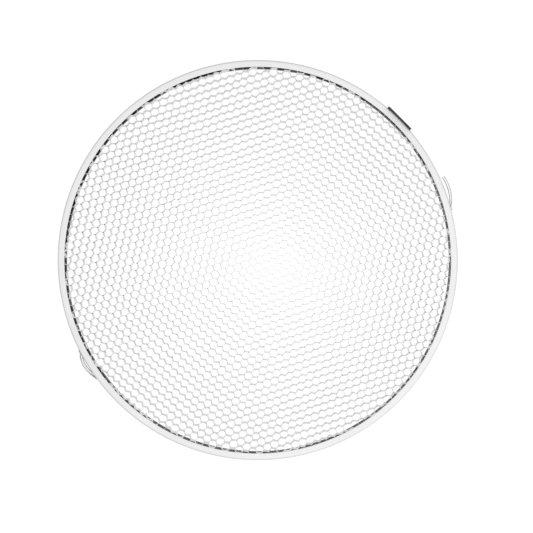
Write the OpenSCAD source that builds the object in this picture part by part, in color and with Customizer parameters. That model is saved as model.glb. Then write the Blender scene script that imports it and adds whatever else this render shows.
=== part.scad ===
// Round honeycomb grid for the mouth of a 7-inch light reflector.
// It lies on its back. Z = 0 is the back of the ring, +Z is the way the light
// leaves, and the origin is on the ring's axis. All sizes are millimetres.

/* [Ring] */
// Outside diameter of the ring
ring_d = 163; // [150:1:180]
// Depth of the ring, back to front
ring_depth = 16; // [15.2:0.1:18]
// Thickness of the ring's sheet
sheet = 0.6; // [0.5:0.05:0.7]
// Width of the front and back lips
lip_w = 2.8; // [2.4:0.1:3.4]
// Outside radius of the bends between web and lips
bend_r = 0.8; // [0.75:0.05:1.2]
// Direction of the ring's butt joint, from +X
joint_angle = 45; // [30:1:60]
// Gap left in the butt joint
joint_gap = 0.06; // [0.02:0.02:0.2]

/* [Core] */
// Cell size, across the flats
cell = 3.175; // [3:0.025:4]
// Thickness of the core, front to back
core_h = 12.7; // [10:0.1:13]
// Thickness of the foil
foil = 0.06; // [0.05:0.01:0.1]
// How far two bonded flats sink into each other
bond = 0.02; // [0.01:0.01:0.03]
// Gap between two bands of the core
band_gap = 0.02; // [0.01:0.01:0.04]
// Direction of the foil ribbons, from +X
ribbon_angle = -11.2; // [-90:0.1:90]
// Place of one bonded flat, along and across the ribbons
core_shift = [3.55, 0.4]; // [-3:0.05:6]
// Length of a bonded flat, as a share of a regular cell's side
flat_share = 1.12; // [0.9:0.01:1.25]
// Tilt of the bonded flats from the ribbon's direction
flat_tilt = 4.5; // [-6:0.5:6]
// How far each ribbon slips along the one before
slip = 0.03; // [-0.1:0.01:0.1]

/* [Seat] */
// How far the foam seat is set back from the back lip's edge
seat_back = 0.35; // [0:0.05:0.5]
// How far the seat was laid off the ring's axis
seat_shift = [0.25, -0.3]; // [-0.3:0.05:0.3]

/* [Pull tab] */
// Width of the tab, around the ring
tab_w = 13; // [11:0.1:16]
// Thickness of the tab
tab_t = 0.5; // [0.4:0.05:1]
// How far the tab stands in front of the ring
tab_proud = 2; // [1:0.1:4]
// Distance between its two rivets
tab_pitch = 7.2; // [6:0.1:8]

/* [Leaf springs] */
// Thickness of the spring steel
leaf_t = 0.3; // [0.2:0.05:0.4]
// Width of each leaf, along the ring's depth
leaf_w = 14.4; // [10:0.1:14.6]
// Length of the riveted foot, along the ring
foot_len = 1.5; // [1.5:0.1:3]
// Angle that the bowed blade covers, around the ring
blade_span = 8.8; // [7:0.1:10]
// Direction of the right blade's root, from +X
right_root = 15.5; // [10:0.1:25]
// Direction of the left blade's root, from +X
left_root = 207.75; // [200:0.05:220]
// Height of the right blade's bow
right_rise = 2; // [1.5:0.01:2.6]
// Height of the left blade's bow
left_rise = 1.46; // [1.2:0.01:2]
// Distance between a foot's two rivets
leaf_rivet_pitch = 8; // [6:0.5:9]

/* [Hidden] */
$fn = 96;
ring_r = ring_d / 2;
lip_r = ring_r - lip_w;
web_r = ring_r - sheet;

core_play = 0.1;              // core to front lip
seat_h = ring_depth - 2 * sheet - core_h - core_play;
core_z = sheet + seat_h;
core_r = web_r - 0.7;

side = cell / sqrt(3);        // of a regular cell
pitch = 3 * side;             // of a ribbon's wave
row = cell / 2;               // from one ribbon to the next
flat_half = flat_share * side / 2;
end_chord = 3;                // shortest half ribbon that is kept
reach = sqrt(core_r ^ 2 - end_chord ^ 2);
first_row = ceil((-reach - core_shift.y) / row);
last_row = floor((reach - core_shift.y) / row) - 1;
band_rows = 4;
BANDS = ceil((last_row - first_row + 1) / band_rows);
grain = 0.001;                // foil outlines keep to this step

rivet_gap = 0.03;             // shank to hole
seat_gap = 0.02;              // between pieces riveted face to face
tab_shank_r = 1;
leaf_shank_r = 0.5;

hinge_gap = 0.03;             // round end of a blade to the next piece
leaf_lift = leaf_t / 2 + seat_gap;
right_sweep = 125;            // degrees of sine in each bow
left_sweep = 180;
right_lean = 0.8;             // below 1, the crown moves towards the root
left_lean = 0.75;
crown = 0.4;                  // share of the left blade before its crown
leaf_z = (ring_depth - leaf_w) / 2;

function band_node(i) = str("core_band_", i < 10 ? "0" : "", i);

// ---- helpers -------------------------------------------------------------

function unit(v) = v / norm(v);
function left_of(v) = [-v.y, v.x];
function reversed(list) = [for (i = [len(list) - 1:-1:0]) list[i]];

// Points beside a line, at a distance, mitred at each bend
function beside(line, d) = [
    for (i = [0:len(line) - 1])
        let (before = unit(line[max(i, 1)] - line[max(i, 1) - 1]))
        let (after = unit(line[min(i + 1, len(line) - 1)] - line[min(i, len(line) - 2)]))
        let (n = left_of(before) + left_of(after))
        line[i] + n * d / (1 + before * after)
];

// Outline of a strip of sheet bent along a line
function strip(line, t) = concat(beside(line, -t / 2), reversed(beside(line, t / 2)));

// Points of a round bend, centred at c
function bend(c, r, from, to, steps = 6) = [
    for (i = [0:steps])
        let (a = from + (to - from) * i / steps)
        c + r * [cos(a), sin(a)]
];

// Places its children on the ring: +X out along the direction, +Y around it
module on_ring(direction) {
    rotate([0, 0, direction]) children();
}

// A hole or shank that points out of the ring
module radial_pin(r, from, to, z) {
    translate([from, 0, z]) rotate([0, 90, 0]) cylinder(r = r, h = to - from);
}

// ---- ring ----------------------------------------------------------------

// Section of the ring: +X out, +Y towards the front
function channel_section() =
    let (inner_r = bend_r - sheet)
    let (x = ring_r - bend_r)
    concat(
        [[lip_r, 0]],
        bend([x, bend_r], bend_r, -90, 0),
        bend([x, ring_depth - bend_r], bend_r, 0, 90),
        [[lip_r, ring_depth], [lip_r, ring_depth - sheet]],
        bend([x, ring_depth - bend_r], inner_r, 90, 0),
        bend([x, bend_r], inner_r, 0, -90),
        [[lip_r, sheet]]
    );

module leaf_rivet_holes(root) {
    on_ring(root) translate([0, -foot_len / 2, 0])
        for (side_z = [-1, 1])
            radial_pin(leaf_shank_r + rivet_gap, web_r - 2, ring_r + 2,
                       ring_depth / 2 + side_z * leaf_rivet_pitch / 2);
}

module tab_rivet_holes() {
    on_ring(joint_angle)
        for (side_y = [-1, 1])
            translate([0, side_y * tab_pitch / 2, 0])
                radial_pin(tab_shank_r + rivet_gap, web_r - 2, ring_r + 3, ring_depth / 2);
}

module frame_ring() {
    gap_angle = joint_gap / ring_r * 180 / PI;
    color("gainsboro")
    difference() {
        rotate([0, 0, joint_angle + gap_angle / 2])
            rotate_extrude(angle = 360 - gap_angle) polygon(channel_section());
        tab_rivet_holes();
        leaf_rivet_holes(right_root);
        leaf_rivet_holes(left_root);
    }
}

module seat_gasket() {
    inner_r = lip_r + seat_back;
    outer_r = ring_r - bend_r - norm(seat_shift); // stays on the lip's flat
    color("black")
    translate([seat_shift.x, seat_shift.y, sheet])
        rotate_extrude()
            translate([inner_r, 0]) square([outer_r - inner_r, seat_h]);
}

// ---- honeycomb core ------------------------------------------------------

// The core is a stack of foil ribbons. Each is a wave of flats and free walls,
// and is bonded by its flats to the ribbons beside it. Four bonded ribbons make
// one band.

// Height of the bond line between ribbons k - 1 and k
function line_y(k) = core_shift.y + k * row;

// Distance from bond line k to the middle of the foils on it
function inset(k) =
    let (edge_of_band = (k - first_row) % band_rows == 0)
    (foil + (edge_of_band ? band_gap : -bond)) / 2;

// Centre of flat i on ribbon k. Even flats lie on the lower bond line,
// odd flats on the upper one
function flat_centre(k, i) =
    let (upper = i % 2 == 0 ? 0 : 1)
    let (up = upper == 0 ? inset(k) : -inset(k + 1))
    [
        core_shift.x + (k + upper) * (pitch / 2 + slip) + (i - upper) * pitch / 2,
        line_y(k + upper) + up
    ];

// Half the length of ribbon k, where the round cut ends it
function half_chord(k) =
    let (y = max(abs(line_y(k)), abs(line_y(k + 1))))
    sqrt(core_r ^ 2 - y ^ 2);

function at_x(a, b, x) = a + (b - a) * (x - a.x) / (b.x - a.x);

// Middle line of ribbon k: a wave of tilted flats, cut at both ends
function ribbon_line(k) =
    let (h = half_chord(k))
    let (half_flat = flat_half * [cos(flat_tilt), sin(flat_tilt)])
    let (first = floor((-h - flat_centre(k, 0).x) / pitch) * 2 - 2)
    let (last = ceil((h - flat_centre(k, 0).x) / pitch) * 2 + 2)
    let (wave = [
        for (i = [first:last])
            for (end = [-1, 1])
                flat_centre(k, i) + end * half_flat
    ])
    let (clear = 0.1)
    concat(
        [for (i = [1:len(wave) - 1])
            if (wave[i - 1].x < -h && wave[i].x >= -h) at_x(wave[i - 1], wave[i], -h)],
        [for (p = wave) if (abs(p.x) < h - clear) p],
        [for (i = [1:len(wave) - 1])
            if (wave[i - 1].x <= h && wave[i].x > h) at_x(wave[i - 1], wave[i], h)]
    );

function turned(p, a) = [p.x * cos(a) - p.y * sin(a), p.x * sin(a) + p.y * cos(a)];
function stepped(p) = [round(p.x / grain) * grain, round(p.y / grain) * grain];

module foil_ribbon(k) {
    linear_extrude(core_h)
        polygon([for (p = strip(ribbon_line(k), foil)) stepped(turned(p, ribbon_angle))]);
}

module core_band(i) {
    first = first_row + (i - 1) * band_rows;
    last = min(first + band_rows - 1, last_row);
    color("silver")
    translate([0, 0, core_z])
        for (k = [first:last])
            foil_ribbon(k);
}

// ---- pull tab ------------------------------------------------------------

module rounded_plate(w, h, r) {
    translate([r, 0]) square([w - 2 * r, h]);
    translate([0, r]) square([w, h - 2 * r]);
    for (x = [r, w - r])
        for (y = [r, h - r])
            translate([x, y]) circle(r);
}

module pull_tab() {
    foot_z = 1.6;
    corner_r = 1.5;
    color("black")
    difference() {
        on_ring(joint_angle)
            translate([ring_r + seat_gap, -tab_w / 2, foot_z])
                rotate([90, 0, 90])
                    linear_extrude(tab_t)
                        rounded_plate(tab_w, ring_depth + tab_proud - foot_z, corner_r);
        tab_rivet_holes();
    }
}

// A rivet along +X: tail inside, from tail_x, and head outside, on head_x
module rivet(shank_r, tail_x, tail_h, head_x, head_r, head_h) {
    rotate([0, 90, 0]) {
        flange = head_h / 3;
        translate([0, 0, tail_x]) cylinder(r = 1.5 * shank_r, h = tail_h);
        translate([0, 0, tail_x + tail_h / 2])
            cylinder(r = shank_r, h = head_x - tail_x - tail_h / 2 + flange / 2);
        translate([0, 0, head_x]) cylinder(r = head_r, h = flange);
        translate([0, 0, head_x + flange])
            cylinder(r1 = head_r, r2 = head_r * 0.6, h = head_h - flange);
    }
}

module tab_rivets() {
    y = tab_pitch / 2;
    outer_edge = y + 1.5 * tab_shank_r;
    tail_h = 0.3;
    tail_x = sqrt(web_r ^ 2 - outer_edge ^ 2) - seat_gap - tail_h;
    head_x = ring_r + tab_t + 2 * seat_gap;
    color("dimgray")
    on_ring(joint_angle)
        for (side_y = [-1, 1])
            translate([0, side_y * y, ring_depth / 2])
                rivet(tab_shank_r, tail_x, tail_h, head_x, 1.9, 0.6);
}

// ---- leaf springs --------------------------------------------------------

// Middle line of a blade between two shares of its length
function blade_line(rise, sweep, lean, from, to, steps) = [
    for (i = [0:steps])
        let (s = from + (to - from) * i / steps)
        let (r = ring_r + leaf_lift + rise * sin(sweep * s ^ lean))
        r * [cos(blade_span * s), sin(blade_span * s)]
];

// A blade with a round end on its hinge line, at the first point
module blade(line) {
    translate([0, 0, leaf_z]) {
        linear_extrude(leaf_w) polygon(strip(line, leaf_t));
        translate(line[0]) cylinder(r = leaf_t / 2, h = leaf_w);
    }
}

module spring_foot(root) {
    end = leaf_t / 2 + hinge_gap;
    difference() {
        on_ring(root)
            translate([ring_r + seat_gap, -end - foot_len, leaf_z])
                cube([leaf_t, foot_len, leaf_w]);
        leaf_rivet_holes(root);
    }
}

module spring_rivets(root) {
    tail_h = 0.25;
    tail_x = web_r - 0.05 - tail_h;
    head_x = ring_r + leaf_t + 2 * seat_gap;
    on_ring(root) translate([0, -foot_len / 2, ring_depth / 2])
        for (side_z = [-1, 1])
            translate([0, 0, side_z * leaf_rivet_pitch / 2])
                rivet(leaf_shank_r, tail_x, tail_h, head_x, 0.7, 0.36);
}

module right_spring_foot() {
    color("lightsteelblue") spring_foot(right_root);
}

module right_spring_blade() {
    color("lightsteelblue")
    on_ring(right_root)
        blade(blade_line(right_rise, right_sweep, right_lean, 0, 1, 16));
}

module right_spring_rivets() {
    color("silver") spring_rivets(right_root);
}

module left_spring_foot() {
    color("lightsteelblue") spring_foot(left_root);
}

module left_spring_blade() {
    blade_arc = ring_r * blade_span * PI / 180;
    stop = crown - (leaf_t / 2 + hinge_gap) / blade_arc;
    color("lightsteelblue")
    on_ring(left_root)
        blade(blade_line(left_rise, left_sweep, left_lean, 0, stop, 8));
}

module left_spring_tip() {
    color("steelblue")
    on_ring(left_root)
        blade(blade_line(left_rise, left_sweep, left_lean, crown, 1, 10));
}

module left_spring_rivets() {
    color("silver") spring_rivets(left_root);
}

frame_ring();
seat_gasket();
pull_tab();
tab_rivets();
right_spring_foot();
right_spring_blade();
right_spring_rivets();
left_spring_foot();
left_spring_blade();
left_spring_tip();
left_spring_rivets();
for (i = [1:BANDS])
    core_band(i);
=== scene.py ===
"""Looks of a round honeycomb light grid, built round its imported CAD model.

Lengths in this script are millimetres until a mesh is made. The grid lies on
its back on a pale floor, and the camera looks down on its front, along its axis.
"""

import math
import random

import bpy
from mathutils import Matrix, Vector


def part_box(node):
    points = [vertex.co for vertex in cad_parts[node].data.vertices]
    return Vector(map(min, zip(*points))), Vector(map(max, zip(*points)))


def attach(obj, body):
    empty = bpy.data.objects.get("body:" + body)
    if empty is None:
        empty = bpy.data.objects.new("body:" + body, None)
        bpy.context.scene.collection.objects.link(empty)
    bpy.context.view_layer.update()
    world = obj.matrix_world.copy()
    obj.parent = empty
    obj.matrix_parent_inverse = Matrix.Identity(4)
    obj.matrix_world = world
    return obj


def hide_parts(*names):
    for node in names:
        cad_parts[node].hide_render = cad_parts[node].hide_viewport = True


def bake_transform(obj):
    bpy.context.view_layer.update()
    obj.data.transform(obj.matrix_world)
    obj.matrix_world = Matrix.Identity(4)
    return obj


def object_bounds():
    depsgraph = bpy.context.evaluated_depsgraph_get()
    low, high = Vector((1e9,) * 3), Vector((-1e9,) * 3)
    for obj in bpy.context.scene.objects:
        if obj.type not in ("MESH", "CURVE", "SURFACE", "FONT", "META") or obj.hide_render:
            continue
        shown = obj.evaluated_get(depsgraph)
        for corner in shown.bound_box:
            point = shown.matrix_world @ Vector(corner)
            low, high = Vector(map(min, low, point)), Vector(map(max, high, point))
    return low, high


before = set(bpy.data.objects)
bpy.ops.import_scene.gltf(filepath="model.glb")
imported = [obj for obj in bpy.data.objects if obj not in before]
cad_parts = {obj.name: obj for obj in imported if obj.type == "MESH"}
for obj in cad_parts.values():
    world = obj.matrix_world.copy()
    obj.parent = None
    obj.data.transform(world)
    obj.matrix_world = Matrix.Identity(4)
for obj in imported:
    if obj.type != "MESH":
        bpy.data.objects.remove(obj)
cad_low, cad_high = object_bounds()

MM = 0.001
TAU = 2 * math.pi

# ---- sizes, in millimetres ---------------------------------------------------


def cad_box(node):
    """The low and high corners of a CAD node's box."""
    return [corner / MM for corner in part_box(node)]


ring_high = cad_box("frame_ring")[1]
core_low, core_high = cad_box("core_band_12")
seat_low, seat_high = cad_box("seat_gasket")
tab_low, tab_high = cad_box("pull_tab")
leaf_low, leaf_high = cad_box("right_spring_foot")

RING_R = round(ring_high.x, 1)
RING_DEPTH = ring_high.z
MIDDLE_Z = RING_DEPTH / 2
SHEET = 0.6
LIP_W = 2.8
LIP_R = RING_R - LIP_W
WEB_R = RING_R - SHEET
BEND_R = 0.8
JOINT_ANGLE = math.radians(45)
JOINT_GAP = 0.06

CELL = 3.175                    # across the flats
CORE_R = 80.2
FOIL = 0.06
GLUE = 0.02                     # between two foils
RIBBON_ANGLE = math.radians(-11.2)
CORE_SHIFT = (3.55, 0.4)
FLAT_SHARE = 1.12
FLAT_TILT = math.radians(4.5)
SLIP = 0.03
BAND_ROWS = 4                   # foils in one band of the CAD
END_CHORD = 3                   # shortest half foil that is kept
FOIL_BEND_R = 0.75              # to the middle of the foil

SEAT_BACK = 0.35
SEAT_SHIFT = Vector((0.25, -0.3))

TAB_W = 13.0
TAB_T = 0.5
TAB_PITCH = 7.2
TAB_SHANK_R = 1.0

LEAF_T = 0.3
LEAF_FOOT = 1.5
LEAF_SPAN = math.radians(8.8)
LEAF_RIVET_PITCH = 8.0
LEAF_SHANK_R = 0.5
RIGHT_ROOT = math.radians(15.5)
LEFT_ROOT = math.radians(207.75)
# the rise of each bow, its degrees of sine, and its lean towards the root
RIGHT_BOW = (2.0, math.radians(125), 0.8)
LEFT_BOW = (1.46, math.radians(180), 0.75)
CROWN = 0.4                     # share of the left blade before its crown

SEAT_GAP = 0.02                 # between pieces riveted face to face
HINGE_GAP = 0.03
RIVET_GAP = 0.03                # shank to hole
LEAF_LIFT = LEAF_T / 2 + SEAT_GAP

# ---- plane geometry ----------------------------------------------------------


def at(radius, angle):
    return Vector((radius * math.cos(angle), radius * math.sin(angle)))


def turned(p, angle):
    c, s = math.cos(angle), math.sin(angle)
    return Vector((p.x * c - p.y * s, p.x * s + p.y * c))


def fillet(before, corner, after, radius, step):
    """Points of the round that takes the place of a corner."""
    a, b = before - corner, after - corner
    room = 0.49 * min(a.length, b.length)
    a.normalize()
    b.normalize()
    turn = math.pi - a.angle(b)
    if radius <= 0 or turn < 0.02:
        return [corner]
    reach = min(radius * math.tan(turn / 2), room)
    radius = reach / math.tan(turn / 2)
    centre = corner + (a + b).normalized() * radius / math.cos(turn / 2)
    arm = corner + a * reach - centre
    way = math.copysign(turn, (-a).cross(b))
    steps = max(2, math.ceil(turn / step))
    return [centre + turned(arm, way * i / steps) for i in range(steps + 1)]


def rounded(points, radii, step=math.radians(12), closed=False):
    """A line or an outline with each corner rounded to its own radius."""
    count = len(points)
    line = []
    for i, corner in enumerate(points):
        if not closed and i in (0, count - 1):
            line.append(corner)
        else:
            line += fillet(points[i - 1], corner, points[(i + 1) % count], radii[i], step)
    return line


def normals(line):
    """Mitred normals along an open line, each as long as its mitre."""
    found = []
    for i, p in enumerate(line):
        before = (p - line[i - 1]).normalized() if i else None
        after = (line[i + 1] - p).normalized() if i + 1 < len(line) else None
        before, after = before or after, after or before
        n = Vector((-before.y - after.y, before.x + after.x))
        found.append(n / (1 + before.dot(after)))
    return found


# ---- meshes ------------------------------------------------------------------

SHARP_ANGLE = math.radians(35)  # edges sharper than this stay sharp
DRILL_SIDES = 32
DRILL_LENGTH = 8


def piece(name, verts, faces, materials, face_materials=None):
    """A mesh object from points in millimetres."""
    mesh = bpy.data.meshes.new(name)
    mesh.from_pydata([[c * MM for c in v] for v in verts], [], faces)
    for material in materials:
        mesh.materials.append(material)
    if face_materials:
        mesh.polygons.foreach_set("material_index", face_materials)
    mesh.polygons.foreach_set("use_smooth", [True] * len(mesh.polygons))
    mesh.set_sharp_from_angle(angle=SHARP_ANGLE)
    mesh.validate()
    thing = bpy.data.objects.new(name, mesh)
    bpy.context.scene.collection.objects.link(thing)
    return thing


def prism(outline, z0, z1, start=0):
    """Vertices and faces of an outline raised from z0 to z1."""
    n = len(outline)
    verts = [(p.x, p.y, z) for z in (z0, z1) for p in outline]
    faces = [[start + n - 1 - i for i in range(n)], [start + n + i for i in range(n)]]
    faces += [
        [start + i, start + (i + 1) % n, start + n + (i + 1) % n, start + n + i]
        for i in range(n)
    ]
    return verts, faces


def swept(stations):
    """Faces that join equal loops of points, one loop after another, with both ends
    closed. stations is a list of loops."""
    n = len(stations[0])
    verts = [p for loop in stations for p in loop]
    faces = [list(range(n))[::-1], [len(verts) - n + i for i in range(n)]]
    for s in range(len(stations) - 1):
        a, b = s * n, (s + 1) * n
        faces += [[a + i, a + (i + 1) % n, b + (i + 1) % n, b + i] for i in range(n)]
    return verts, faces


def lathe(profile, place, steps=48):
    """Turns a profile of (radius, height) points about an axis. place takes a point
    with the height along X to where it belongs."""
    verts, faces, rings = [], [], []
    for radius, height in profile:
        if radius == 0:
            rings.append([len(verts)])
            verts.append(place((height, 0, 0)))
            continue
        rings.append([len(verts) + i for i in range(steps)])
        for i in range(steps):
            a = TAU * i / steps
            verts.append(place((height, radius * math.cos(a), radius * math.sin(a))))
    for low, high in zip(rings, rings[1:]):
        for i in range(steps):
            j = (i + 1) % steps
            if len(low) == 1:
                faces.append([low[0], high[i], high[j]])
            elif len(high) == 1:
                faces.append([low[i], high[0], low[j]])
            else:
                faces.append([low[i], high[i], high[j], low[j]])
    return verts, faces


def tab_holes():
    return [(JOINT_ANGLE, way * TAB_PITCH / 2, MIDDLE_Z, TAB_SHANK_R + RIVET_GAP)
            for way in (-1, 1)]


def leaf_holes(root):
    return [(root, -LEAF_FOOT / 2, MIDDLE_Z + way * LEAF_RIVET_PITCH / 2,
             LEAF_SHANK_R + RIVET_GAP) for way in (-1, 1)]


def drill(thing, holes):
    """Cuts radial holes. holes is a list of (direction, offset, height, radius)."""
    for direction, offset, height, radius in holes:
        out = Vector((math.cos(direction), math.sin(direction), 0)) * MM
        side = Vector((-math.sin(direction), math.cos(direction), 0)) * MM
        centre = out * RING_R + side * offset + Vector((0, 0, height * MM))
        bpy.ops.mesh.primitive_cylinder_add(
            vertices=DRILL_SIDES, radius=radius * MM, depth=DRILL_LENGTH * MM,
            location=centre, rotation=(0, math.pi / 2, direction),
        )
        bit = bpy.context.object
        cut = thing.modifiers.new("hole", "BOOLEAN")
        cut.object, cut.operation, cut.solver = bit, "DIFFERENCE", "EXACT"
        bpy.context.view_layer.objects.active = thing
        bpy.ops.object.modifier_apply(modifier=cut.name)
        bpy.data.objects.remove(bit)
    thing.data.set_sharp_from_angle(angle=SHARP_ANGLE)


# ---- materials ---------------------------------------------------------------


class Nodes:
    """A node material under construction."""

    def __init__(self, name):
        self.material = bpy.data.materials.new(name)
        self.material.use_nodes = True
        self.tree = self.material.node_tree
        self.shader = self.tree.nodes["Principled BSDF"]

    def new(self, kind, **settings):
        node = self.tree.nodes.new("ShaderNode" + kind)
        for key, value in settings.items():
            setattr(node, key, value)
        return node

    def link(self, source, target):
        self.tree.links.new(source, target)

    def set(self, **values):
        for key, value in values.items():
            self.shader.inputs[key.replace("_", " ")].default_value = value

    def place(self):
        """Position on the object, in metres."""
        return self.new("TexCoord").outputs["Object"]

    def math(self, operation, a, b=None):
        node = self.new("Math", operation=operation)
        for socket, value in zip(node.inputs, (a, b)):
            if value is None:
                continue
            if isinstance(value, (int, float)):
                socket.default_value = value
            else:
                self.link(value, socket)
        return node.outputs[0]

    def xyz(self):
        """The three coordinates of the position on the object."""
        parts = self.new("SeparateXYZ")
        self.link(self.place(), parts.inputs[0])
        return parts.outputs

    def radius(self):
        """Distance from the ring's axis."""
        x, y, z = self.xyz()
        return self.math("SQRT", self.math("ADD", self.math("MULTIPLY", x, x),
                                           self.math("MULTIPLY", y, y)))

    def faces_in(self):
        """1 where the surface faces the ring's axis, 0 elsewhere."""
        coords = self.new("TexCoord")
        dot = self.new("VectorMath", operation="DOT_PRODUCT")
        self.link(coords.outputs["Normal"], dot.inputs[0])
        self.link(coords.outputs["Object"], dot.inputs[1])
        return self.math("LESS_THAN", dot.outputs["Value"], 0.0)

    def round_place(self, along, across):
        """Position round the ring's axis, scaled along the ring and across it."""
        x, y, z = self.xyz()
        angle = self.math("ARCTAN2", y, x)
        radius = self.radius()
        joined = self.new("CombineXYZ")
        arc = self.math("MULTIPLY", angle, RING_R * MM)
        for socket, value, scale in zip(joined.inputs, (arc, radius, z),
                                        (along, across, across)):
            self.link(self.math("MULTIPLY", value, scale), socket)
        return joined.outputs[0]

    def noise(self, vector, scale=1.0, detail=3.0, roughness=0.55):
        node = self.new("TexNoise")
        self.link(vector, node.inputs["Vector"])
        node.inputs["Scale"].default_value = scale
        node.inputs["Detail"].default_value = detail
        node.inputs["Roughness"].default_value = roughness
        return node.outputs["Fac"]

    def ramp(self, source, low, high, start=0.0, end=1.0):
        """Maps source to a colour or grey between low and high."""
        node = self.new("ValToRGB")
        node.color_ramp.elements[0].position = start
        node.color_ramp.elements[1].position = end
        for element, value in zip(node.color_ramp.elements, (low, high)):
            grey = (value,) * 3 if isinstance(value, (int, float)) else value
            element.color = (*grey, 1)
        self.link(source, node.inputs[0])
        return node.outputs["Color"]

    def bump(self, height, strength, distance):
        node = self.new("Bump")
        node.inputs["Strength"].default_value = strength
        node.inputs["Distance"].default_value = distance
        self.link(height, node.inputs["Height"])
        self.link(node.outputs[0], self.shader.inputs["Normal"])


def ring_material():
    """Rolled aluminium sheet, matt anodised, with its grain along the ring, and painted shade in
    a darker line along each bend near the outer edge."""
    m = Nodes("ring_aluminium")
    grain = m.noise(m.round_place(60, 9000), detail=4)
    cloud = m.noise(m.place(), scale=45, detail=4)
    m.set(Metallic=0.15, Specular_IOR_Level=0.35)
    mixed = m.math("ADD", m.math("MULTIPLY", grain, 0.5), m.math("MULTIPLY", cloud, 0.5))
    tone = m.ramp(mixed, 0.725, 0.795, 0.3, 0.7)
    # painted shade: the base colour falls to 0.8 in a line round the outer bends
    line = RING_R - 0.35 * BEND_R
    far = m.math("ABSOLUTE", m.math("SUBTRACT", m.radius(), line * MM))
    bend_shade = m.ramp(m.math("MULTIPLY", far, 1 / (BEND_R * MM)), 0.8, 1.0, 0.1, 0.6)
    m.link(m.math("MULTIPLY", tone, bend_shade), m.shader.inputs["Base Color"])
    m.link(m.ramp(mixed, 0.66, 0.54, 0.3, 0.7), m.shader.inputs["Roughness"])
    m.bump(grain, 0.15, 0.00002)
    return m.material


def foil_material():
    """Thin hard aluminium foil, bright, with the mill's fine rolling lines."""
    m = Nodes("core_foil")
    squeezed = m.new("Mapping")
    squeezed.inputs["Scale"].default_value = (1, 1, 12)
    m.link(m.place(), squeezed.inputs["Vector"])
    lines = m.noise(squeezed.outputs[0], scale=900, detail=3)
    cloud = m.noise(m.place(), scale=60, detail=3)
    m.set(Metallic=0.72, Specular_Tint=(0.85, 0.85, 0.85, 1))
    m.link(m.ramp(cloud, (0.9, 0.9, 0.905), (0.96, 0.96, 0.96), 0.3, 0.7),
           m.shader.inputs["Base Color"])
    m.link(m.ramp(lines, 0.22, 0.34, 0.3, 0.7), m.shader.inputs["Roughness"])
    m.bump(lines, 0.2, 0.00001)
    return m.material


def cut_edge_material():
    """The dull, slightly burred edge that a saw leaves on the stack of foils."""
    m = Nodes("foil_edge")
    burr = m.noise(m.place(), scale=2500, detail=3)
    m.set(Metallic=0.7)
    m.link(m.ramp(burr, (0.58, 0.58, 0.585), (0.8, 0.8, 0.8), 0.3, 0.7),
           m.shader.inputs["Base Color"])
    m.link(m.ramp(burr, 0.45, 0.65), m.shader.inputs["Roughness"])
    m.bump(burr, 0.3, 0.00002)
    return m.material


def glue_material():
    """A clear film of cured adhesive on the foils, beside their bonds."""
    m = Nodes("core_glue")
    spots = m.noise(m.place(), scale=1500, detail=2)
    m.set(Metallic=0.7, Specular_Tint=(0.85, 0.85, 0.85, 1))
    m.link(m.ramp(spots, (0.86, 0.855, 0.845), (0.95, 0.945, 0.935), 0.3, 0.7),
           m.shader.inputs["Base Color"])
    m.link(m.ramp(spots, 0.24, 0.4), m.shader.inputs["Roughness"])
    m.bump(spots, 0.3, 0.00002)
    return m.material


def foam_material():
    """Black closed-cell foam."""
    m = Nodes("black_foam")
    cells = m.new("TexVoronoi", feature="F1")
    m.link(m.place(), cells.inputs["Vector"])
    cells.inputs["Scale"].default_value = 3500
    pores = cells.outputs["Distance"]
    dust = m.noise(m.place(), scale=160, detail=3)
    m.set(Specular_IOR_Level=0.25)
    worn = m.math("MULTIPLY", m.ramp(dust, 0.25, 1.0, 0.35, 0.65), m.ramp(pores, 0.6, 1.0))
    m.link(m.ramp(worn, (0.09, 0.09, 0.09), (0.5, 0.5, 0.502), 0.1, 1.0),
           m.shader.inputs["Base Color"])
    m.link(m.ramp(pores, 0.98, 0.85), m.shader.inputs["Roughness"])
    m.bump(pores, 0.6, 0.0001)
    return m.material


def paint_material(name, dark, light):
    """Black powder coat with a fine orange peel."""
    m = Nodes(name)
    peel = m.noise(m.place(), scale=2600, detail=2)
    dust = m.noise(m.place(), scale=220, detail=5, roughness=0.7)
    m.set(IOR=1.5)
    m.link(m.ramp(dust, dark, light, 0.45, 0.75), m.shader.inputs["Base Color"])
    m.link(m.ramp(dust, 0.34, 0.5, 0.3, 0.7), m.shader.inputs["Roughness"])
    m.bump(peel, 0.25, 0.00003)
    return m.material


def steel_material(name, scale, tint, bright_end=(0.74, 0.745, 0.75)):
    """Cold-rolled steel, brushed along the strip."""
    m = Nodes(name)
    grain = m.noise(m.round_place(90, 7000), detail=4)
    stain = m.noise(m.place(), scale=scale, detail=4)
    m.set(Metallic=1.0, Anisotropic=0.3)
    m.link(m.ramp(stain, tint, bright_end, 0.35, 0.65),
           m.shader.inputs["Base Color"])
    m.link(m.ramp(grain, 0.22, 0.36, 0.3, 0.7), m.shader.inputs["Roughness"])
    m.bump(grain, 0.2, 0.00002)
    return m.material


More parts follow.
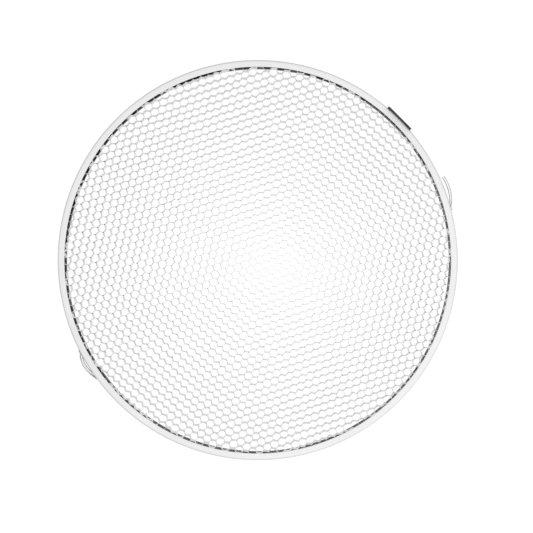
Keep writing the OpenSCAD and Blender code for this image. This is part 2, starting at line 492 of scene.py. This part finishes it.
def strip_material():
    """Spring steel strip: rolling streaks along it, and painted shade on its inner face, beside
    the back edge, where the strip is drawn dark, dull and not metallic."""
    m = Nodes("spring_strip")
    grain = m.noise(m.round_place(90, 7000), detail=4)
    streak = m.noise(m.round_place(40, 420), detail=2)
    x, y, z = m.xyz()
    edge = m.math("ADD", m.math("MULTIPLY", z, 1 / (RING_DEPTH * MM)),
                  m.math("MULTIPLY", streak, 0.08))
    # painted shade: this mask is 0 on the inner face near the back edge and 1 elsewhere; it
    # darkens the colour and takes away the metal there
    bright_end = m.math("MAXIMUM", m.ramp(edge, 0.0, 1.0, 0.25, 0.33),
                   m.math("SUBTRACT", 1.0, m.faces_in()))
    metal = m.ramp(streak, 0.82, 0.94, 0.3, 0.7)
    tone = m.math("MULTIPLY", m.ramp(bright_end, 0.1, 1.0), metal)
    m.link(m.ramp(tone, (0.0, 0.0, 0.0), (1.0, 1.0, 1.005)), m.shader.inputs["Base Color"])
    m.link(bright_end, m.shader.inputs["Metallic"])
    # extra roughness where the painted shade lies, up to 0.5 at its darkest
    scale = m.ramp(bright_end, 0.5, 0.0)
    m.link(m.math("ADD", scale, m.ramp(grain, 0.12, 0.2, 0.3, 0.7)),
           m.shader.inputs["Roughness"])
    m.set(Specular_IOR_Level=0.2)
    m.bump(grain, 0.2, 0.00002)
    return m.material


def floor_material():
    """Matt white acrylic, lit softly from below."""
    m = Nodes("floor_acrylic")
    cloud = m.noise(m.place(), scale=3, detail=3)
    shade = m.ramp(cloud, 0.99, 1.0, 0.3, 0.7)
    tone = m.ramp(cloud, 0.03, 0.04, 0.3, 0.7)
    m.link(tone, m.shader.inputs["Base Color"])
    m.link(shade, m.shader.inputs["Emission Color"])
    m.set(Roughness=0.8, Specular_IOR_Level=0.1, Emission_Strength=1.01)
    return m.material


RING_METAL = ring_material()
FOIL_METAL = foil_material()
FOIL_EDGE = cut_edge_material()
ADHESIVE = glue_material()
FOAM = foam_material()
TAB_PAINT = paint_material("tab_black", (0.012, 0.012, 0.013), (0.03, 0.03, 0.03))
RIVET_PAINT = paint_material("rivet_black", (0.02, 0.02, 0.021), (0.05, 0.05, 0.05))
SPRING_STEEL = strip_material()
SLIT_EDGE = steel_material("slit_edge", 900, (0.46, 0.46, 0.463), (0.62, 0.62, 0.625))
RIVET_STEEL = steel_material("rivet_steel", 500, (0.55, 0.55, 0.56))

# ---- ring --------------------------------------------------------------------


def add_ring():
    edge = 0.15
    inner = BEND_R - SHEET
    corners = [
        ((LIP_R, 0), edge), ((RING_R, 0), BEND_R),
        ((RING_R, RING_DEPTH), BEND_R), ((LIP_R, RING_DEPTH), edge),
        ((LIP_R, RING_DEPTH - SHEET), edge), ((WEB_R, RING_DEPTH - SHEET), inner),
        ((WEB_R, SHEET), inner), ((LIP_R, SHEET), edge),
    ]
    section = rounded([Vector(p) for p, r in corners], [r for p, r in corners],
                      step=math.radians(9), closed=True)
    steps = 540
    half_gap = JOINT_GAP / 2 / RING_R
    stations = []
    for i in range(steps + 1):
        a = JOINT_ANGLE + half_gap + (TAU - 2 * half_gap) * i / steps
        stations.append([(p.x * math.cos(a), p.x * math.sin(a), p.y) for p in section])
    verts, faces = swept(stations)
    ring = piece("ring", verts, faces, [RING_METAL])
    drill(ring, tab_holes() + leaf_holes(RIGHT_ROOT) + leaf_holes(LEFT_ROOT))
    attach(ring, "grid")
    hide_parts("frame_ring")


def add_seat():
    rng = random.Random(5)
    inner, outer = LIP_R + SEAT_BACK, RING_R - BEND_R - SEAT_SHIFT.length
    low, high = seat_low.z, seat_high.z
    steps, levels = 1080, 8
    stations = []
    for i in range(steps):
        a = TAU * i / steps
        loop = []
        for j in range(levels + 1):
            s = j / levels
            ease = 0.12 * (1 - min(1, s * 6, (1 - s) * 6))
            ragged = rng.uniform(0, 0.05)
            loop.append((inner + ease + ragged, low + (high - low) * s))
        loop += [(outer, high), (outer, low)]
        stations.append([(*(at(r, a) + SEAT_SHIFT), z) for r, z in loop])
    n = len(stations[0])
    verts = [p for loop in stations for p in loop]
    faces = []
    for s in range(steps):
        a, b = s * n, (s + 1) % steps * n
        faces += [[a + (i + 1) % n, a + i, b + i, b + (i + 1) % n] for i in range(n)]
    seat = piece("foam_seat", verts, faces, [FOAM])
    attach(seat, "grid")
    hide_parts("seat_gasket")


# ---- honeycomb core ----------------------------------------------------------

SIDE = CELL / math.sqrt(3)
PITCH = 3 * SIDE
ROW = CELL / 2
FLAT_HALF = FLAT_SHARE * SIDE / 2
REACH = math.sqrt(CORE_R**2 - END_CHORD**2)
FIRST_ROW = math.ceil((-REACH - CORE_SHIFT[1]) / ROW)
LAST_ROW = math.floor((REACH - CORE_SHIFT[1]) / ROW) - 1


class Bond:
    """One bonded flat on bond line k: its middle, direction and half length. Both
    foils at the bond share it, so that an uneven cell stays closed."""

    def __init__(self, k, j):
        rng = random.Random(k * 7919 + j * 104729)
        stretch = 0.5 + 0.5 * math.sin(k * 0.31 + j * 0.17)
        self.middle = Vector((
            CORE_SHIFT[0] + k * (PITCH / 2 + SLIP) + j * PITCH + rng.gauss(0, 0.1),
            CORE_SHIFT[1] + k * ROW + rng.gauss(0, 0.07),
        ))
        tilt = FLAT_TILT + math.radians(rng.gauss(0, 4.0 + 2.0 * stretch))
        self.along = Vector((math.cos(tilt), math.sin(tilt)))
        self.up = Vector((-self.along.y, self.along.x))
        self.half = FLAT_HALF * (1 + rng.gauss(0, 0.06))


def half_chord(k):
    y = max(abs(CORE_SHIFT[1] + k * ROW), abs(CORE_SHIFT[1] + (k + 1) * ROW))
    return math.sqrt(CORE_R**2 - y**2)


def bonds_of(k, upper, h):
    """The bonds of ribbon k on its lower or upper line, from end to end and past."""
    line = k + upper
    start = CORE_SHIFT[0] + line * (PITCH / 2 + SLIP)
    first = math.floor((-h - start) / PITCH) - 1
    last = math.ceil((h - start) / PITCH) + 1
    return [Bond(line, j) for j in range(first, last + 1)]


def ribbon_points(k, h):
    """Corners of ribbon k's wave, from left to right."""
    inset = (FOIL + GLUE) / 2
    flats = [(b, 1) for b in bonds_of(k, 0, h)] + [(b, -1) for b in bonds_of(k, 1, h)]
    flats.sort(key=lambda flat: flat[0].middle.x)
    points = []
    for bond, way in flats:
        middle = bond.middle + bond.up * inset * way
        points += [middle - bond.along * bond.half, middle + bond.along * bond.half]
    return points


def clipped(line, h):
    """The part of a line between x = -h and x = h."""
    kept = []
    for a, b in zip(line, line[1:]):
        inside_a, inside_b = abs(a.x) <= h, abs(b.x) <= h
        if inside_a and not kept:
            kept.append(a)
        if inside_a != inside_b:
            edge = math.copysign(h, b.x if inside_a else a.x)
            kept.append(a + (b - a) * (edge - a.x) / (b.x - a.x))
        if inside_b:
            kept.append(b)
        elif inside_a:
            break
    return kept


def foil_mesh(k, line):
    """A foil that stands on its edge along a line, with slightly uneven edges."""
    rng = random.Random(k * 31 + 7)
    stations = []
    for p, n in zip(line, normals(line)):
        a, b = turned(p + n * FOIL / 2, RIBBON_ANGLE), turned(p - n * FOIL / 2, RIBBON_ANGLE)
        low = core_low.z + rng.uniform(0, 0.03)
        high = core_high.z - rng.uniform(0, 0.05)
        stations.append([(a.x, a.y, low), (b.x, b.y, low), (b.x, b.y, high), (a.x, a.y, high)])
    return swept(stations)


def glue_outline(bond):
    """Adhesive between two foils, with a hollow fillet at each end."""
    surface = FOIL_BEND_R + FOIL / 2
    flat = bond.half - FOIL_BEND_R * math.tan(math.radians(30))
    reach = 0.27
    side = []
    for share in (0, 0.6, 1):
        s = reach * share
        gap = GLUE / 2 + surface - math.sqrt(surface**2 - s**2)
        side.append((flat + s, gap * 0.98))
    hollow = (flat + reach - 0.09, 0)
    right = side + [hollow] + [(x, -y) for x, y in side[::-1]]
    outline = right[::-1] + [(-x, y) for x, y in right]
    points = [bond.middle + bond.along * x + bond.up * y for x, y in outline]
    return [turned(p, RIBBON_ANGLE) for p in points]


def add_foil(number, k):
    h = half_chord(k)
    corners = ribbon_points(k, h)
    rng = random.Random(k + 1000)
    radii = [FOIL_BEND_R * rng.uniform(0.85, 1.2) for c in corners]
    line = clipped(rounded(corners, radii, step=math.radians(14)), h)
    verts, faces = foil_mesh(k, line)
    # the two ends, then round each station: cut edge, broad face, cut edge, broad face
    kinds = [0, 0] + [2, 0, 2, 0] * (len(line) - 1)
    has_upper = k < LAST_ROW
    for bond in bonds_of(k, 1, h) if has_upper else []:
        room = min(h, half_chord(k + 1)) - bond.half - 0.4
        if abs(bond.middle.x) > room:
            continue
        low = core_low.z + rng.uniform(0.05, 0.3)
        high = core_high.z - rng.uniform(0.03, 0.15)
        more_verts, more_faces = prism(glue_outline(bond), low, high, len(verts))
        verts += more_verts
        faces += more_faces
        kinds += [1] * len(more_faces)
    foil = piece(f"core_foil_{number:03d}", verts, faces, [FOIL_METAL, ADHESIVE, FOIL_EDGE],
                 kinds)
    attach(foil, "grid")
    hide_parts(f"core_band_{(number - 1) // BAND_ROWS + 1:02d}")


def add_core():
    for number, k in enumerate(range(FIRST_ROW, LAST_ROW + 1), 1):
        add_foil(number, k)


# ---- pull tab and rivets -----------------------------------------------------


def on_ring(direction):
    """A function that takes a point, X out of the ring and Y round it, to its place."""
    c, s = math.cos(direction), math.sin(direction)
    return lambda p: (p[0] * c - p[1] * s, p[0] * s + p[1] * c, p[2])


def add_rivet(name, direction, offset, height, sizes, material, node):
    """A pop rivet that points out of the ring: tail, shank, domed head, mandrel hole."""
    shank_r, tail_x, tail_h, head_x, head_r, head_h = sizes
    hole_r = shank_r * 0.45
    tail_r = 1.5 * shank_r
    profile = [(0, tail_x), (tail_r * 0.75, tail_x), (tail_r * 0.95, tail_x + 0.25 * tail_h),
               (tail_r, tail_x + 0.6 * tail_h), (tail_r * 0.97, tail_x + tail_h),
               (shank_r, tail_x + tail_h), (shank_r, head_x), (head_r * 0.98, head_x),
               (head_r, head_x + 0.12 * head_h)]
    steps = 8
    for i in range(1, steps + 1):
        s = i / steps
        r = head_r - (head_r - hole_r) * s
        profile.append((r, head_x + head_h * (0.12 + 0.88 * math.sqrt(1 - (1 - s) ** 2))))
    depth = head_h * 0.55
    profile += [(hole_r * 0.9, head_x + head_h * 0.92), (hole_r * 0.88, head_x + head_h - depth),
                (0, head_x + head_h - depth * 0.8)]
    turn = on_ring(direction)
    verts, faces = lathe(profile, lambda p: turn((p[0], p[1] + offset, p[2] + height)))
    rivet = piece(name, verts, faces, [material])
    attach(rivet, "grid")
    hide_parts(node)


def add_tab():
    corner_r, edge = 1.5, 0.12
    low, high = tab_low.z, tab_high.z
    half = TAB_W / 2
    corners = [Vector(p) for p in ((-half, low), (half, low), (half, high), (-half, high))]
    x0, x1 = RING_R + SEAT_GAP, RING_R + SEAT_GAP + TAB_T
    turn = on_ring(JOINT_ANGLE)
    stations = []
    for x, shrink in ((x0, edge), (x0 + 0.3 * edge, 0.3 * edge), (x0 + edge, 0),
                      (x1 - edge, 0), (x1 - 0.3 * edge, 0.3 * edge), (x1, edge)):
        inset = [c - Vector((math.copysign(shrink, c.x), shrink if c.y == high else -shrink))
                 for c in corners]
        outline = rounded(inset, [corner_r - shrink] * 4, step=math.radians(9), closed=True)
        stations.append([turn((x, p.x, p.y)) for p in outline])
    verts, faces = swept(stations)
    tab = piece("pull_tab_plate", verts, faces, [TAB_PAINT])
    drill(tab, tab_holes())
    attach(tab, "grid")
    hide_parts("pull_tab")
    outer_edge = TAB_PITCH / 2 + 1.5 * TAB_SHANK_R
    tail_h = 0.3
    tail_x = math.sqrt(WEB_R**2 - outer_edge**2) - SEAT_GAP - tail_h
    sizes = (TAB_SHANK_R, tail_x, tail_h, RING_R + TAB_T + 2 * SEAT_GAP, 1.9, 0.6)
    for number, way in enumerate((-1, 1), 1):
        add_rivet(f"tab_rivet_{number}", JOINT_ANGLE, way * TAB_PITCH / 2, MIDDLE_Z, sizes,
                  RIVET_PAINT, "tab_rivets")


# ---- leaf springs ------------------------------------------------------------

BLADE_STEPS = 60
CROWN_STEP = round(CROWN * BLADE_STEPS)
LEAF_CORNER_R = 1.6
LEAF_STEP = 0.25
# from a rounded end of a leaf to the stations near it
NEAR_END = (0, 0.02, 0.08, 0.18, 0.32, 0.5, 0.72, 0.98, 1.28, LEAF_CORNER_R)


def blade_point(bow, s):
    """A point of a blade's middle line, at a share of its length."""
    rise, sweep, lean = bow
    r = RING_R + LEAF_LIFT + rise * math.sin(sweep * s**lean)
    return at(r, LEAF_SPAN * s)


def blade_points(bow, first, last):
    return [blade_point(bow, i / BLADE_STEPS) for i in range(first, last + 1)]


def foot_points():
    end = LEAF_T / 2 + HINGE_GAP + LEAF_FOOT
    x = RING_R + LEAF_LIFT
    return [Vector((x, -end)), Vector((x, -end * 0.5))]


def add_leaf(name, root, line, ends):
    """A strip of spring steel along a line. ends says which of its ends has
    rounded corners."""
    line = resampled(smoothed(line), ends)
    lengths = lengths_along(line)
    whole = lengths[-1]
    turn = on_ring(root)
    stations = []
    for p, n, s in zip(line, normals(line), lengths):
        cut = 0
        for end, distance in zip(ends, (s, whole - s)):
            if end and distance < LEAF_CORNER_R:
                cut = LEAF_CORNER_R - math.sqrt(
                    LEAF_CORNER_R**2 - (LEAF_CORNER_R - distance) ** 2)
        low, high = leaf_low.z + cut, leaf_high.z - cut
        t = LEAF_T / 2
        loop = []
        edge = 0.45 * t
        for across, z in ((-0.55, low), (0.55, low), (1, low + edge), (1, high - edge),
                          (0.55, high), (-0.55, high), (-1, high - edge), (-1, low + edge)):
            q = p - n * t * across
            loop.append(turn((q.x, q.y, z)))
        stations.append(loop)
    verts, faces = swept(stations)
    # of the eight faces round a station, the third and the seventh are the broad
    # faces, and the others are the slit edges
    kinds = [1, 1] + [1, 1, 0, 1, 1, 1, 0, 1] * (len(line) - 1)
    return piece(name, verts, faces, [SPRING_STEEL, SLIT_EDGE], kinds)


def smoothed(line, rounds=2):
    """A line with its corners cut, and its ends where they were."""
    for _ in range(rounds):
        cut = [line[0]]
        for a, b in zip(line, line[1:]):
            cut += [a * 0.75 + b * 0.25, a * 0.25 + b * 0.75]
        line = cut + [line[-1]]
    return line


def add_leaf_rivets(side, root):
    tail_h = 0.25
    tail_x = WEB_R - 0.05 - tail_h
    sizes = (LEAF_SHANK_R, tail_x, tail_h, RING_R + LEAF_T + 2 * SEAT_GAP, 0.7, 0.36)
    for number, way in enumerate((-1, 1), 1):
        add_rivet(f"{side}_leaf_rivet_{number}", root, -LEAF_FOOT / 2,
                  MIDDLE_Z + way * LEAF_RIVET_PITCH / 2, sizes, RIVET_STEEL,
                  f"{side}_spring_rivets")


def lengths_along(line):
    """Distance from the line's start to each of its points."""
    lengths = [0]
    for a, b in zip(line, line[1:]):
        lengths.append(lengths[-1] + (b - a).length)
    return lengths


def resampled(line, dense_ends):
    """Points at an even step along a line, closer together near its dense ends."""
    lengths = lengths_along(line)
    whole = lengths[-1]
    marks = {round(s, 4) for s in (NEAR_END if dense_ends[0] else [0])}
    marks |= {round(whole - s, 4) for s in (NEAR_END if dense_ends[1] else [0])}
    count = math.ceil(whole / LEAF_STEP)
    marks |= {round(whole * i / count, 4) for i in range(count + 1)
              if min(i, count - i) * whole / count > LEAF_CORNER_R + 0.1}
    points, i = [], 0
    for mark in sorted(marks):
        while i < len(lengths) - 2 and lengths[i + 1] < mark:
            i += 1
        share = (mark - lengths[i]) / max(1e-9, lengths[i + 1] - lengths[i])
        points.append(line[i] + (line[i + 1] - line[i]) * min(1, max(0, share)))
    return points


def in_frame(root, p):
    return [c * MM for c in on_ring(root)((p.x, p.y, MIDDLE_Z))]


def add_springs():
    leaf = add_leaf("right_leaf_strip", RIGHT_ROOT,
                    foot_points() + blade_points(RIGHT_BOW, 0, BLADE_STEPS), (True, True))
    drill(leaf, leaf_holes(RIGHT_ROOT))
    in_frame(RIGHT_ROOT, blade_point(RIGHT_BOW, 0))
    in_frame(RIGHT_ROOT, blade_point(RIGHT_BOW, 0.35))
    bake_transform(leaf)
    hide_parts("right_spring_foot", "right_spring_blade")

    leaf = add_leaf("left_leaf_strip", LEFT_ROOT,
                    foot_points() + blade_points(LEFT_BOW, 0, CROWN_STEP), (True, False))
    drill(leaf, leaf_holes(LEFT_ROOT))
    in_frame(LEFT_ROOT, blade_point(LEFT_BOW, 0))
    in_frame(LEFT_ROOT, blade_point(LEFT_BOW, 0.3))
    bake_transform(leaf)
    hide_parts("left_spring_foot", "left_spring_blade")

    tip = add_leaf("left_leaf_tip_strip", LEFT_ROOT,
                   blade_points(LEFT_BOW, CROWN_STEP, BLADE_STEPS), (False, True))
    in_frame(LEFT_ROOT, blade_point(LEFT_BOW, CROWN))
    in_frame(LEFT_ROOT, blade_point(LEFT_BOW, 0.6))
    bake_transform(tip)
    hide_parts("left_spring_tip")
    add_leaf_rivets("right", RIGHT_ROOT)
    add_leaf_rivets("left", LEFT_ROOT)


# ---- stage, light and camera -------------------------------------------------


def add_floor():
    half = 2.5  # metres
    clearance = 0.02
    mesh = bpy.data.meshes.new("floor")
    z = cad_low.z - clearance * MM
    mesh.from_pydata([(-half, -half, z), (half, -half, z), (half, half, z), (-half, half, z)],
                     [], [(0, 1, 2, 3)])
    mesh.materials.append(floor_material())
    floor = bpy.data.objects.new("floor", mesh)
    bpy.context.scene.collection.objects.link(floor)


def add_sky():
    """Soft light from all round, brightest overhead."""
    world = bpy.data.worlds.new("studio")
    bpy.context.scene.world = world
    world.use_nodes = True
    tree = world.node_tree
    back = tree.nodes["Background"]
    where = tree.nodes.new("ShaderNodeTexCoord")
    xyz = tree.nodes.new("ShaderNodeSeparateXYZ")
    ramp = tree.nodes.new("ShaderNodeValToRGB")
    ramp.color_ramp.elements[0].position = 0.0
    ramp.color_ramp.elements[1].position = 0.95
    ramp.color_ramp.elements[0].color = (0.6, 0.6, 0.6, 1)
    ramp.color_ramp.elements[1].color = (1.06, 1.06, 1.06, 1)
    tree.links.new(where.outputs["Generated"], xyz.inputs[0])
    tree.links.new(xyz.outputs["Z"], ramp.inputs[0])
    tree.links.new(ramp.outputs["Color"], back.inputs["Color"])
    back.inputs["Strength"].default_value = 1.0


def add_softbox(name, place, width, power):
    light = bpy.data.lights.new(name, "AREA")
    light.size = width
    light.energy = power
    lamp = bpy.data.objects.new(name, light)
    lamp.location = place
    lamp.rotation_euler = (-Vector(place)).to_track_quat("-Z", "Y").to_euler()
    bpy.context.scene.collection.objects.link(lamp)


def add_camera():
    """Straight above the front, a little to the right of the axis. In metres."""
    distance = 1.155
    view_width = 0.2169
    foot = Vector((0.0075, -0.0035, ring_high.z * MM))
    aim = Vector((0.0036, -0.0026, ring_high.z * MM))
    data = bpy.data.cameras.new("camera")
    data.sensor_width = 36
    camera = bpy.data.objects.new("camera", data)
    camera.location = foot + Vector((0, 0, distance))
    look = aim - camera.location
    data.lens = data.sensor_width * look.length / view_width
    camera.rotation_euler = (math.atan2(look.y, -look.z), -math.atan2(look.x, -look.z), 0)
    bpy.context.scene.collection.objects.link(camera)
    bpy.context.scene.camera = camera


add_ring()
add_seat()
add_core()
add_tab()
add_springs()
add_floor()
add_sky()
add_softbox("softbox", place=(0.55, -0.45, 0.7), width=0.5, power=3)
add_camera()
bpy.context.scene.view_settings.view_transform = "Standard"
